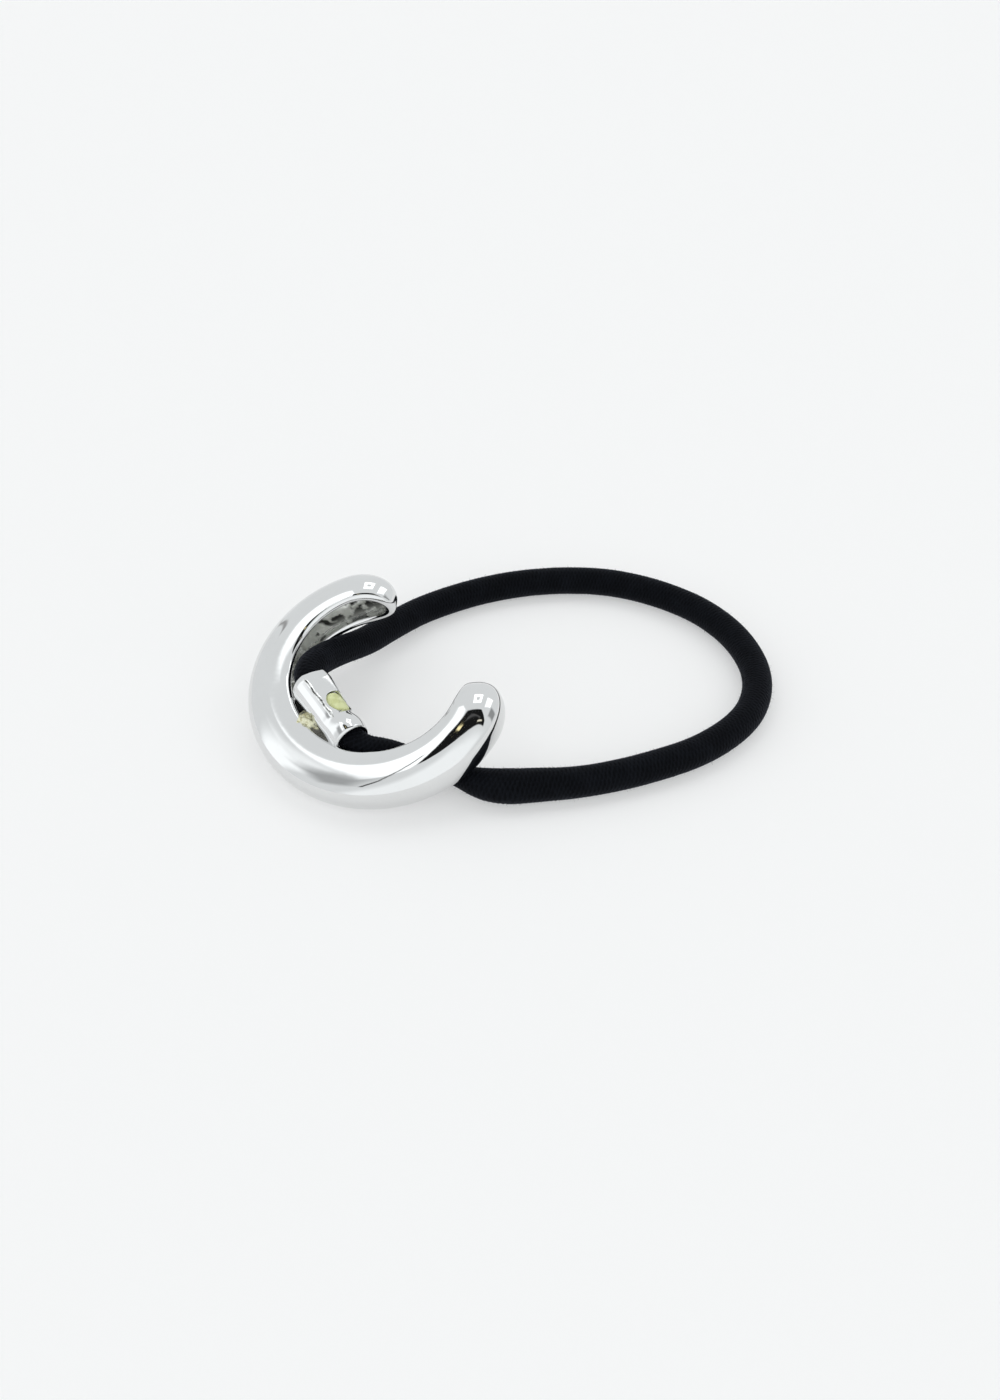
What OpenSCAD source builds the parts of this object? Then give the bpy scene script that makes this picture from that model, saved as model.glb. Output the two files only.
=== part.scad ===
/* [Cuff ring] */
// Inner radius of the ring from its middle to its back
ring_back = 11.8; // [10:0.1:15]
// Inner radius of the ring from its middle to each arm
ring_side = 13.3; // [10:0.1:15]
// Angle from the middle of the back to the end of each arm
arm_sweep = 136; // [110:1:145]
// Tilt of the cuff's section about its own run
cant = 8.5; // [-12:0.5:12]

/* [Cuff section] */
// Depth of the dome at the back
back_depth = 5.6; // [4:0.1:7]
// Depth of the dome along the arms
arm_depth = 5; // [3.5:0.1:6]
// Depth of the dome at the tips
tip_depth = 4.7; // [4:0.1:7]
// Half of the cuff's width at the back
back_half = 3.1; // [2.8:0.1:5]
// Half of the cuff's width along the arms
arm_half = 3.5; // [3:0.1:5.5]
// Half of the cuff's width at the tips
tip_half = 4.1; // [3:0.1:5.5]
// Share of the half width that lies under the middle of the section
lower_share = 0.9; // [0.8:0.05:1]
// Power of the dome's upper curve, where 2 is an ellipse and more is squarer
upper_power = 2.2; // [2:0.05:3.2]
// Power of the dome's lower curve
lower_power = 2.7; // [2:0.05:3.2]
// Height of the dome's widest line over the middle of the section
widest_rise = 0.3; // [-0.6:0.1:1]
// Length over which each tip rounds off
tip_round = 5.6; // [4:0.1:7]
// Thickness of the cast wall
wall = 1.1; // [0.8:0.1:1.5]
// Thickness of the metal that closes each tip
tip_wall = 1.5; // [1:0.1:2.5]

/* [Bail] */
// Outside diameter of the bail tube
bail_d = 5.3; // [4.6:0.1:5.6]
// Bore of the bail tube
bail_bore = 3.9; // [3.8:0.1:4]
// Length of the bail tube
bail_len = 10.7; // [9:0.1:12]
// Distance from the ring's middle to the bail's axis
bail_reach = 7.5; // [6.8:0.1:8]
// Distance of the bail's middle from the ring's back, towards the far arm
bail_shift = -0.4; // [-1:0.1:1]
// Height of the bail's axis over the middle of the section
bail_rise = 2.4; // [1.5:0.1:3]
// Turn of the bail about its own middle
bail_turn = -3; // [-6:0.5:2]
// Slope of the bail up to its far end
bail_slope = 5; // [0:0.5:6]
// Diameter of the window in the bail
window_d = 3.6; // [2:0.1:3.6]
// Angle of the window above the line from the bail to the ring's middle
window_rise = 41; // [0:1:80]
// Distance of the window from the bail's middle, towards the far arm
window_shift = -0.3; // [-2:0.1:2]
// Diameter of the solder post between the bail and the cuff
post_d = 2.8; // [2:0.1:3.4]

/* [Cord] */
// Diameter of the elastic cord
cord_d = 4; // [3.8:0.1:4]
// Diameter of the cord where the bail squeezes it
cord_squeezed_d = 3.4; // [3.2:0.1:3.6]
// Gap between the cord's two ends inside the bail
seam_gap = 0.2; // [0.1:0.1:1]

/* [Pose] */
// Height of the ring's middle over the table
ring_height = 7.42; // [7.4:0.02:9]
// Turn of the open side from the X axis
yaw = 34.5; // [0:0.5:60]
// Rise of the open side over the back
rise = 20; // [12:0.5:22]
// Roll of the far arm over the near one
roll = 6; // [0:1:8]

/* [Hidden] */
// Place of the ring's middle on the table
ring_x = 0.95;
ring_y = 0.35;
// Columns and rows of the cuff's sections, from the back to a tip
SHARE = 0;
DEPTH = 1;
HALF = 2;
SECTIONS = [
    [0, back_depth, back_half],
    [0.6, arm_depth, arm_half],
    [1, tip_depth, tip_half],
];
ring_mean = (ring_back + ring_side) / 2;
// Power of the dome's depth as it rounds off at a tip, where less is fuller
tip_bulge = 0.8;
tip_steps = 8;
arm_steps = 44;
dome_steps = 22;
channel_steps = 14;
lip_steps = 4;
// Depth of the solder post in the bail's wall, and its slope down to the bail
post_sink = 0.2;
post_slope = 10;
// Clearance round the glue in the window
glue_gap = 0.06;
// Length inside each mouth of the bail where the cord starts to bend
mouth_inset = 0.3;
// Columns and rows of the cord's route from the bail's far mouth to its near one
PLACE = 0;
RADIUS = 1;
cord_r = cord_d / 2;
ROUTE = [
    [[-8.75, 1.0, 8.3], 1.75],
    [[-8.2, 3.7, 7.85], 1.95],
    [[-6.9, 7.1, 6.6], cord_r],
    [[-5.3, 9.7, 5.6], 1.95],
    [[-3.9, 11.8, 4.7], 1.95],
    [[-2.0, 14.6, 3.7], cord_r],
    [[0.8, 18.7, 2.9], cord_r],
    [[4.6, 23.2, 2.2], cord_r],
    [[9.2, 26.4, 2.0], cord_r],
    [[13.8, 28.6, 2.0], cord_r],
    [[19.4, 30.3, 2.0], cord_r],
    [[25.8, 31.0, 2.0], cord_r],
    [[32.5, 30.3, 2.0], cord_r],
    [[39.1, 27.5, 2.0], cord_r],
    [[45.0, 22.8, 2.0], cord_r],
    [[49.1, 16.0, 2.0], cord_r],
    [[50.4, 8.0, 2.0], cord_r],
    [[48.0, 0.4, 2.0], cord_r],
    [[41.9, -5.7, 2.0], cord_r],
    [[34.0, -9.6, 2.0], cord_r],
    [[26.4, -11.9, 2.0], cord_r],
    [[20.2, -12.7, 2.1], 2.1],
    [[16.2, -12.9, 2.1], 2.1],
    [[13.4, -12.1, 1.9], 1.85],
    [[10.9, -10.4, 1.5], 1.45],
    [[8.6, -9.0, 1.55], 1.5],
    [[6.2, -8.6, 1.9], 1.7],
    [[3.8, -9.3, 3.3], 1.95],
    [[1.9, -9.6, 4.4], cord_r],
    [[0.4, -9.65, 4.95], 1.85],
    [[-1.15, -9.45, 5.6], 1.6],
];
cord_sides = 10;
cord_steps = 2;

// Value of a section column at a share of the way to the tip, even about the back
function along(share, column) =
    let (
        start = SECTIONS[0][column],
        middle = SECTIONS[1][column] - start,
        end = SECTIONS[2][column] - start,
        at = pow(SECTIONS[1][SHARE], 2),
        fourth = (end - middle / at) / (1 - at)
    )
    start + (end - fourth) * pow(share, 2) + fourth * pow(share, 4);

// Point of the ring's plan and its outward direction at an angle from the back
function plan(angle) = [-ring_back * cos(angle), ring_side * sin(angle), 0];
function outward(angle) =
    let (v = [-ring_side * cos(angle), ring_back * sin(angle), 0])
    v / norm(v);

// Length on the plan as an angle
function as_angle(length) = length / ring_mean * 180 / PI;

// Angles from one tip to the other of a surface that is set in from the outside
function stations(inset) =
    let (
        sweep = arm_sweep - as_angle(inset > 0 ? tip_wall : 0),
        round_len = tip_round - inset,
        straight = sweep - as_angle(round_len),
        ends = [for (i = [1 : tip_steps])
            sweep - as_angle(round_len * (1 - cos(90 * (i - 0.5) / tip_steps)))]
    )
    concat(
        [for (i = [0 : tip_steps - 1]) -ends[i]],
        [for (i = [0 : arm_steps]) straight * (2 * i / arm_steps - 1)],
        [for (i = [tip_steps - 1 : -1 : 0]) ends[i]]
    );

// Point of the dome at an angle round the ring and an angle across the section
function dome_point(angle, across, inset) =
    let (
        sweep = arm_sweep - as_angle(inset > 0 ? tip_wall : 0),
        share = abs(angle) / sweep,
        rest = (sweep - abs(angle)) / as_angle(1),
        fade = min(rest / (tip_round - inset), 1),
        close = sqrt(1 - pow(1 - fade, 2)),
        side = across < 0 ? -1 : 1,
        bend = 2 / (side < 0 ? lower_power : upper_power),
        half = along(share, HALF) * (side < 0 ? lower_share : 1) - inset - side * widest_rise,
        depth = (along(share, DEPTH) - inset) * pow(close, tip_bulge) * pow(cos(across), bend),
        height = (widest_rise + side * half * pow(abs(sin(across)), bend)) * close
    )
    plan(angle) + outward(angle) * (depth * cos(cant) - height * sin(cant))
        + [0, 0, depth * sin(cant) + height * cos(cant)];

// Points of the rounded lip from one edge to the other
function lip(from, to, angle) =
    let (
        middle = (from + to) / 2,
        half = (from - to) / 2,
        bulge = -(outward(angle) * cos(cant) + [0, 0, sin(cant)]) * norm(half)
    )
    [for (i = [1 : lip_steps - 1])
        middle + half * cos(180 * i / lip_steps) + bulge * sin(180 * i / lip_steps)];

// One closed section of the cuff's wall: dome, upper lip, channel and lower lip
function ring_points(outer, inner) =
    let (
        dome = [for (i = [0 : dome_steps]) dome_point(outer, 180 * i / dome_steps - 90, 0)],
        channel = [for (i = [0 : channel_steps]) dome_point(inner, 90 - 180 * i / channel_steps, wall)]
    )
    concat(
        dome,
        lip(dome[dome_steps], channel[0], inner),
        channel,
        lip(channel[channel_steps], dome[0], inner)
    );

// Triangles of the skin between rings of n points each
function skin(rings, n) =
    [for (i = [0 : rings - 2], j = [0 : n - 1])
        let (a = i * n + j, b = i * n + (j + 1) % n)
        each [[a, b + n, b], [a, a + n, b + n]]];

// Triangles of a fan over a list of point numbers
function fan(list) = [for (i = [1 : len(list) - 2]) [list[0], list[i], list[i + 1]]];

// Triangles of a strip between two lists of point numbers
function strip(a, b) =
    [for (i = [0 : len(a) - 2]) each [[a[i], a[i + 1], b[i + 1]], [a[i], b[i + 1], b[i]]]];

// The same triangles seen from the other side, with their point numbers raised
function flipped(faces, raise = 0) = [for (f = faces) [f[2] + raise, f[1] + raise, f[0] + raise]];

// Cast shell: a domed C with a channel open to the ring's middle and closed round tips
module cuff_shell() {
    outer = stations(0);
    inner = stations(wall);
    count = len(outer);
    points = [for (i = [0 : count - 1]) each ring_points(outer[i], inner[i])];
    n = len(points) / count;
    dome = [for (i = [0 : dome_steps]) i];
    channel = [for (i = [0 : channel_steps]) dome_steps + lip_steps + i];
    upper = [for (i = [0 : lip_steps]) dome_steps + i];
    lower = [for (i = [0 : lip_steps]) (n - i) % n];
    closing = concat(fan(dome), fan(channel), strip(upper, lower));
    polyhedron(
        points = points,
        faces = concat(skin(count, n), closing, flipped(closing, (count - 1) * n)),
        convexity = 8
    );
}

// Moves its children to the bail's axis, which runs along the child's Z
module at_bail() {
    translate([-bail_reach, bail_shift, bail_rise])
        rotate([bail_slope - 90, 0, bail_turn])
            children();
}

// Points the child's Z out through the bail's window
module at_window() {
    translate([0, 0, window_shift])
        rotate([0, 0, -window_rise])
            rotate([0, 90, 0])
                children();
}

module bail_tube() {
    lip_r = (bail_d - bail_bore) / 4;
    rotate_extrude($fn = 64)
        union() {
            translate([bail_bore / 2, lip_r - bail_len / 2])
                square([2 * lip_r, bail_len - 2 * lip_r]);
            for (side = [-1, 1])
                translate([bail_bore / 2 + lip_r, side * (bail_len / 2 - lip_r)])
                    circle(r = lip_r, $fn = 24);
        }
}

// Solder between the bail and the cuff's upper lip
module solder_post() {
    start = bail_d / 2 - post_sink;
    end = ring_back + wall - bail_reach;
    translate([-bail_reach, 0, bail_rise])
        rotate([0, -90 - post_slope, 0])
            translate([0, 0, start])
                cylinder(h = end - start, d = post_d, $fn = 32);
}

module posed() {
    translate([ring_x, ring_y, ring_height])
        rotate([roll, -rise, yaw])
            children();
}

module cuff() {
    color("silver")
        posed() {
            difference() {
                union() {
                    cuff_shell();
                    solder_post();
                    at_bail() bail_tube();
                }
                at_bail() at_window() cylinder(h = bail_d, d = window_d, $fn = 48);
            }
        }
}

module seam_glue() {
    color("darkkhaki")
        posed()
            at_bail()
                intersection() {
                    at_window() cylinder(h = bail_d, d = window_d - 2 * glue_gap, $fn = 48);
                    difference() {
                        cylinder(h = bail_len, d = bail_d - 4 * glue_gap, center = true, $fn = 64);
                        cylinder(h = bail_len * 2, d = cord_squeezed_d + 2 * glue_gap, center = true, $fn = 64);
                    }
                }
}

// Vector turned about one axis by an angle
function about_x(v, a) = [v.x, v.y * cos(a) - v.z * sin(a), v.y * sin(a) + v.z * cos(a)];
function about_y(v, a) = [v.x * cos(a) + v.z * sin(a), v.y, v.z * cos(a) - v.x * sin(a)];
function about_z(v, a) = [v.x * cos(a) - v.y * sin(a), v.x * sin(a) + v.y * cos(a), v.z];

// Point of the bail's axis in the posed cuff, a distance from its middle towards the far arm
function bail_point(distance) =
    let (
        ahead = about_z(about_x([0, distance, 0], bail_slope), bail_turn),
        on_axis = [-bail_reach, bail_shift, bail_rise] + ahead,
        turned = about_z(about_y(about_x(on_axis, roll), -rise), yaw)
    )
    turned + [ring_x, ring_y, ring_height];

// Route rows inside one half of the bail, from its middle out to its mouth
function bail_rows(side) =
    [for (distance = [seam_gap / 2, bail_len / 4, bail_len / 2 - mouth_inset])
        [bail_point(side * distance), cord_squeezed_d / 2]];

// Smooth curve through the middle two of four values
function smooth(a, b, c, d, t) =
    b + (c - a) * t / 2 + (2 * a - 5 * b + 4 * c - d) * t * t / 2 + (3 * b - a - 3 * c + d) * pow(t, 3) / 2;

module elastic_cord() {
    near = bail_rows(-1);
    rows = concat(bail_rows(1), ROUTE, [near[2], near[1], near[0]]);
    last = len(rows) - 1;
    row = function(i) rows[min(max(i, 0), last)];
    curve = function(i, t, column)
        smooth(row(i - 1)[column], row(i)[column], row(i + 1)[column], row(i + 2)[column], t);
    spots = concat(
        [for (i = [0 : last - 1], k = [0 : cord_steps - 1]) [i, k / cord_steps]],
        [[last - 1, 1]]
    );
    ring = function(spot)
        let (
            middle = curve(spot[0], spot[1], PLACE),
            ahead = curve(spot[0], spot[1] + 0.01, PLACE) - curve(spot[0], spot[1] - 0.01, PLACE),
            side = cross(ahead, [0, 0, 1]) / norm(cross(ahead, [0, 0, 1])),
            top = cross(side, ahead) / norm(ahead),
            radius = curve(spot[0], spot[1], RADIUS)
        )
        [for (k = [0 : cord_sides - 1])
            let (turn = 360 * k / cord_sides)
            middle + (side * cos(turn) + top * sin(turn)) * radius];
    count = len(spots);
    start = [for (k = [0 : cord_sides - 1]) k];
    color("black")
        polyhedron(
            points = [for (spot = spots) each ring(spot)],
            faces = concat(
                flipped(skin(count, cord_sides)),
                flipped(fan(start)),
                flipped(flipped(fan(start)), (count - 1) * cord_sides)
            ),
            convexity = 4
        );
}

cuff();
seam_glue();
elastic_cord();
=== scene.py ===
"""Hair tie: a black elastic cord loop that runs through a small tube inside a polished, C-shaped metal cuff."""
import logging
import math
from collections.abc import Callable, Iterator
from dataclasses import dataclass
from enum import Enum

import bmesh
import bpy
import numpy as np
from mathutils import Matrix, Vector, noise


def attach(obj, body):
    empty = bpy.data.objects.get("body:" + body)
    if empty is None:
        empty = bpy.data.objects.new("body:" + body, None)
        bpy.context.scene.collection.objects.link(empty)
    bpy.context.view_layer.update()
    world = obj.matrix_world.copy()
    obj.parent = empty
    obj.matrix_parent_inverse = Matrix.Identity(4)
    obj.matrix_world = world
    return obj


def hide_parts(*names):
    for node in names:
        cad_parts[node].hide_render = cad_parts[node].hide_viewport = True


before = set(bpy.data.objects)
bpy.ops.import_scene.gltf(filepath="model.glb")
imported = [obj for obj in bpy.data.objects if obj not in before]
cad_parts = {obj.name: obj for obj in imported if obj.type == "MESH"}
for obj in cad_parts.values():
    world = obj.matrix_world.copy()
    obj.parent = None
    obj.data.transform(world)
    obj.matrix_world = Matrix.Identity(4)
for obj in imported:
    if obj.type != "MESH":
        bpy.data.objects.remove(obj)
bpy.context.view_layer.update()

MM = 0.001
UP = np.array([0, 0, 1.0])
Array = np.ndarray
Piece = bpy.types.Object
Finish = bpy.types.Material
log = logging.getLogger("hair_tie")


class Slot(Enum):
    """Names of the material slots."""

    METAL = "polished_metal"
    GLUE = "glue"
    CLOTH = "cord_cloth"


def operator(operation: str, swapped: bool = False) -> Callable[["Value", "Term"], "Value"]:
    """Makes one of the operators of a shader's values.

    Args:
        operation: the Math node's operation.
        swapped: whether the other value comes first.

    Returns:
        The operator, as a method.
    """
    def apply(value: "Value", other: "Term") -> "Value":
        """Adds the node for this value and another."""
        return value.shader.maths(operation, *((other, value) if swapped else (value, other)))
    return apply


class Value:
    """A number or colour inside a shader, on which plain arithmetic adds the nodes."""

    __add__ = __radd__ = operator("ADD")
    __sub__ = operator("SUBTRACT")
    __rsub__ = operator("SUBTRACT", swapped=True)
    __mul__ = __rmul__ = operator("MULTIPLY")
    __truediv__ = operator("DIVIDE")
    __pow__ = operator("POWER")
    at_most = operator("MINIMUM")
    at_least = operator("MAXIMUM")

    def __init__(self, shader: "Shader", socket: bpy.types.NodeSocket) -> None:
        """Wraps one output socket of the shader's tree."""
        self.shader = shader
        self.socket = socket

    def between(self, low: float, high: float) -> "Value":
        """A smooth step from 0 at low to 1 at high."""
        sockets = {0: self, 1: low, 2: high, 3: 0.0, 4: 1.0}
        return self.shader.value("ShaderNodeMapRange", 0, {"interpolation_type": "SMOOTHSTEP"}, sockets)


Term = Value | float


class Shader:
    """A node tree under construction."""

    def __init__(self, tree: bpy.types.NodeTree) -> None:
        """Empties the tree and starts on it."""
        self.tree = tree
        tree.nodes.clear()

    def node(self, kind: str, settings: dict | None = None, sockets: dict | None = None) -> bpy.types.Node:
        """Adds one node.

        Args:
            kind: type of the node.
            settings: properties to set first.
            sockets: values or links for its inputs, by name or number.

        Returns:
            The node.
        """
        made = self.tree.nodes.new(kind)
        for name, setting in (settings or {}).items():
            setattr(made, name, setting)
        for key, value in (sockets or {}).items():
            if isinstance(value, Value):
                self.tree.links.new(value.socket, made.inputs[key])
            else:
                made.inputs[key].default_value = value
        return made

    def value(self, kind: str, output: str | int, settings: dict | None = None, sockets: dict | None = None) -> Value:
        """Adds one node and gives one of its outputs as a value."""
        return Value(self, self.node(kind, settings, sockets).outputs[output])

    def maths(self, operation: str, *values: Term) -> Value:
        """Adds one Math node on the given values."""
        return self.value("ShaderNodeMath", 0, {"operation": operation}, dict(enumerate(values)))

    def mix(self, factor: Term, start: Value | tuple, end: Value | tuple) -> Value:
        """Mixes a share of the end colour into the start colour."""
        return self.value("ShaderNodeMix", 2, {"data_type": "RGBA"}, {0: factor, 6: start, 7: end})

    def attribute(self, name: str) -> Value:
        """One of the piece's own numbers."""
        return self.value("ShaderNodeAttribute", "Fac", {"attribute_name": name})

    def noise(self, size: float, detail: float, roughness: float = 0.5) -> Value:
        """Noise from 0 to 1 over the object's coordinates.

        Args:
            size: size of a feature in millimetres.
            detail: number of finer layers.
            roughness: strength of each finer layer.

        Returns:
            The noise.
        """
        place = self.value("ShaderNodeTexCoord", "Object")
        sockets = {"Vector": place, "Scale": 1 / (size * MM), "Detail": detail, "Roughness": roughness}
        return self.value("ShaderNodeTexNoise", 0, None, sockets)

    def bump(self, height: Value, depth: float, strength: float, under: Value | None = None) -> Value:
        """Normal that is bent by a height from 0 to 1.

        Args:
            height: the relief.
            depth: its depth in millimetres.
            strength: share of it that shows.
            under: a normal that is bent already.

        Returns:
            The bent normal.
        """
        sockets = {"Height": height, "Distance": depth * MM, "Strength": strength}
        if under is not None:
            sockets["Normal"] = under
        return self.value("ShaderNodeBump", 0, None, sockets)

    def surface(self, **sockets: object) -> Value:
        """A Principled surface, whose sockets are given by name with _ for a space."""
        named = {name.replace("_", " "): value for name, value in sockets.items()}
        return self.value("ShaderNodeBsdfPrincipled", 0, None, named)

    def finish(self, surface: Value, kind: str = "ShaderNodeOutputMaterial") -> None:
        """Joins the surface to the tree's output."""
        self.node(kind, None, {"Surface": surface})


class Look:
    """A finish with a name, whose shader its own class builds."""

    name = ""

    def surface(self, shader: Shader) -> Value:
        """The finish's surface, built in the shader."""
        raise NotImplementedError

    def material(self) -> Finish:
        """Builds the finish.

        Returns:
            Its material.
        """
        made = bpy.data.materials.new(self.name)
        made.use_nodes = True
        shader = Shader(made.node_tree)
        shader.finish(self.surface(shader))
        return made


@dataclass(frozen=True)
class PlatedMetal(Look):
    """Bright plating, rough as cast where the attribute cast is 1, painted near-black where pit is 1: painted shade
    in the channel's pits and a painted dark reflection along the bail's seam.
    """

    name = "plated_metal"
    colour: tuple = (0.76, 0.765, 0.765, 1.0)
    haze: tuple = (0.72, 0.722, 0.72, 1.0)
    # Near-black tone for the painted shade in the pits and the painted dark reflection along the bail's seam.
    painted_dark_tone: tuple = (0.03, 0.03, 0.028, 1.0)
    cast_olive: tuple = (0.80, 0.81, 0.76, 1.0)
    cast_cream: tuple = (0.96, 0.97, 0.93, 1.0)
    cast_dullness: float = 0.5
    gloss: float = 0.025
    cast_gloss: float = 0.3

    def surface(self, shader: Shader) -> Value:
        """The plating.

        Args:
            shader: where it is built.

        Returns:
            Its surface.
        """
        cast, pit = shader.attribute("cast"), shader.attribute("pit")
        cloud = shader.noise(6, 2).between(0.35, 0.7)
        smear = shader.noise(0.9, 5, 0.6).between(0.45, 0.8)
        blotch = shader.noise(1.3, 3, 0.55).between(0.42, 0.62)
        plate = shader.mix(0.35 * cloud + 0.25 * smear, self.colour, self.haze)
        # Painted shade: where pit is 1 the colour goes near-black.
        rough = shader.mix(pit, shader.mix(blotch, self.cast_cream, self.cast_olive), self.painted_dark_tone)
        polished = self.gloss + 0.03 * cloud + 0.025 * smear
        ripple = shader.bump(shader.noise(2.2, 2), 0.012, 0.4)
        return shader.surface(
            Base_Color=shader.mix(cast, plate, rough),
            Metallic=1 - self.cast_dullness * cast,
            Roughness=polished * (1 - cast) + (self.cast_gloss + 0.25 * blotch) * cast,
            Normal=shader.bump(shader.noise(0.25, 4, 0.7) * cast, 0.05, 0.6, ripple),
        )


@dataclass(frozen=True)
class Solder(Look):
    """Yellowish solder, crumbly where it cooled, with dross where dull is 1 and near-black painted shade where pit is
    1.
    """

    name = "solder"
    colour: tuple = (0.88, 0.87, 0.64, 1.0)
    flux: tuple = (0.50, 0.46, 0.24, 1.0)
    dross: tuple = (0.13, 0.125, 0.105, 1.0)
    # Near-black colour for the painted shade on the web's sunken far part.
    painted_dark: tuple = (0.012, 0.012, 0.010, 1.0)

    def surface(self, shader: Shader) -> Value:
        """The solder.

        Args:
            shader: where it is built.

        Returns:
            Its surface.
        """
        crumb = shader.noise(0.5, 4, 0.65)
        bright = shader.mix(crumb.between(0.45, 0.62), self.colour, self.flux)
        dulled = shader.mix(shader.attribute("dull").between(0.3, 0.9), bright, self.dross)
        return shader.surface(
            # Where pit is 1 the colour is near-black painted shade.
            Base_Color=shader.mix(shader.attribute("pit"), dulled, self.painted_dark),
            Metallic=0.35,
            Roughness=0.28 + 0.3 * crumb,
            Normal=shader.bump(crumb, 0.12, 0.7),
        )


@dataclass(frozen=True)
class CuredGlue(Look):
    """Cloudy yellowish glue with a glossy skin."""

    name = "cured_glue"
    colour: tuple = (0.74, 0.78, 0.42, 1.0)
    thin: tuple = (0.60, 0.63, 0.28, 1.0)

    def surface(self, shader: Shader) -> Value:
        """The glue.

        Args:
            shader: where it is built.

        Returns:
            Its surface.
        """
        cloud = shader.noise(1.2, 3)
        return shader.surface(
            Base_Color=shader.mix(cloud.between(0.4, 0.7), self.colour, self.thin),
            Roughness=0.18 + 0.15 * cloud,
            Normal=shader.bump(shader.noise(0.6, 2), 0.04, 0.6),
        )


@dataclass(frozen=True)
class CordCloth(Look):
    """Near-black woven cover with a soft sheen, lighter in patches and threads from wear, and with a painted
    highlight on the crests of its relief.
    """

    name = "cord_cloth"
    yarn: tuple = (0.0008, 0.0010, 0.0016, 1.0)
    # The lighter yarn: wear in patches and threads, and a painted highlight on the rib crests.
    wear_and_highlight: tuple = (0.0070, 0.0085, 0.0120, 1.0)
    sheen: tuple = (0.75, 0.8, 1.0, 1.0)

    def surface(self, shader: Shader) -> Value:
        """The cloth.

        Args:
            shader: where it is built.

        Returns:
            Its surface.
        """
        patch = shader.noise(3, 3).between(0.4, 0.75)
        thread = shader.noise(0.2, 3, 0.6)
        # crest: the rib crests get a painted highlight, their valleys a painted shade.
        crest = shader.attribute("relief").between(0.35, 1.2)
        return shader.surface(
            Base_Color=shader.mix(0.25 * patch + 0.25 * thread + 0.5 * crest, self.yarn, self.wear_and_highlight),
            Roughness=0.62 + 0.2 * thread,
            Sheen_Weight=0.1,
            Sheen_Roughness=0.4,
            Sheen_Tint=self.sheen,
            Specular_IOR_Level=0.05,
            Normal=shader.bump(thread, 0.05, 0.9),
        )


@dataclass(frozen=True)
class TableTop(Look):
    """Matt white table, lit evenly from below."""

    name = "table"
    colour: tuple = (0.60, 0.592, 0.588, 1.0)
    glow: tuple = (0.385, 0.391, 0.393, 1.0)

    def surface(self, shader: Shader) -> Value:
        """The table's surface, built in the shader."""
        return shader.surface(Base_Color=self.colour, Roughness=0.9, Specular_IOR_Level=0.0,
                              Emission_Color=self.glow, Emission_Strength=1.0)


class Surface:
    """Points and faces that grow into one mesh, in millimetres."""

    def __init__(self) -> None:
        """Starts empty."""
        self.points: list[Array] = []
        self.faces: list[tuple[int, ...]] = []
        self.count = 0

    def add_points(self, points: Array) -> Array:
        """Adds rows x, y, z.

        Args:
            points: the rows.

        Returns:
            The points' numbers.
        """
        self.points.append(points)
        self.count += len(points)
        return np.arange(self.count - len(points), self.count)

    def bridge(self, ring: Array, other: Array, skip: Array | None = None) -> None:
        """Joins two rings of point numbers with faces, but for the cells to skip."""
        cells = zip(ring, np.roll(ring, -1), np.roll(other, -1), other)
        self.faces.extend(cell for i, cell in enumerate(cells) if skip is None or not skip[i])

    def add_ring(self, ring: Array, points: Array) -> Array:
        """Adds a ring of points and the faces to it from the last ring.

        Args:
            ring: numbers of the last ring's points.
            points: rows x, y, z of the new ring.

        Returns:
            The new ring's point numbers.
        """
        fresh = self.add_points(points)
        self.bridge(ring, fresh)
        return fresh

    def add_grid(self, grid: Array, skip: Array | None = None) -> Array:
        """Adds a grid of points, each row a ring, and its faces.

        Args:
            grid: array of rows by columns by 3.
            skip: cells left open, by row and column.

        Returns:
            The points' numbers, by row and column.
        """
        number = self.add_points(grid.reshape(-1, 3)).reshape(grid.shape[:2])
        for i in range(len(grid) - 1):
            self.bridge(number[i], number[i + 1], None if skip is None else skip[i])
        return number

    def add_capped(self, grid: Array) -> None:
        """Adds a grid whose first and last row close with a fan about their middles.

        Args:
            grid: array of rows by columns by 3.
        """
        number = self.add_grid(grid)
        for i in (0, -1):
            centre = self.add_points(grid[i].mean(0).reshape(1, 3))[0]
            self.faces.extend((a, b, centre) for a, b in zip(number[i], np.roll(number[i], -1)))

    def all_points(self) -> Array:
        """Every point as one array."""
        return np.concatenate(self.points)


def make_piece(name: str, surface: Surface, pose: Matrix, material: Finish,
               numbers: dict[str, Array] | None = None) -> Piece:
    """Turns a surface into a piece in its place.

    Args:
        name: the piece's name.
        surface: its points and faces, in millimetres.
        pose: matrix that carries them to their place, in millimetres.
        material: its finish.
        numbers: the points' own numbers, by name.

    Returns:
        The piece.
    """
    turn = np.array(pose)
    points = (surface.all_points() @ turn[:3, :3].T + turn[:3, 3]) * MM
    mesh = bpy.data.meshes.new(name)
    mesh.from_pydata(points.tolist(), [], [tuple(int(v) for v in face) for face in surface.faces])
    for key, values in (numbers or {}).items():
        mesh.attributes.new(key, "FLOAT", "POINT").data.foreach_set("value", np.asarray(values, np.float32))
    work = bmesh.new()
    work.from_mesh(mesh)
    bmesh.ops.remove_doubles(work, verts=work.verts, dist=1e-3 * MM)
    bmesh.ops.recalc_face_normals(work, faces=work.faces)
    for face in work.faces:
        face.smooth = True
    work.to_mesh(mesh)
    work.free()
    mesh.materials.append(material)
    return placed(name, mesh)


def placed(name: str, data: bpy.types.ID) -> Piece:
    """Puts a mesh or camera into the scene.

    Args:
        name: the object's name.
        data: what it shows.

    Returns:
        The object.
    """
    made = bpy.data.objects.new(name, data)
    bpy.context.collection.objects.link(made)
    return made


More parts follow.
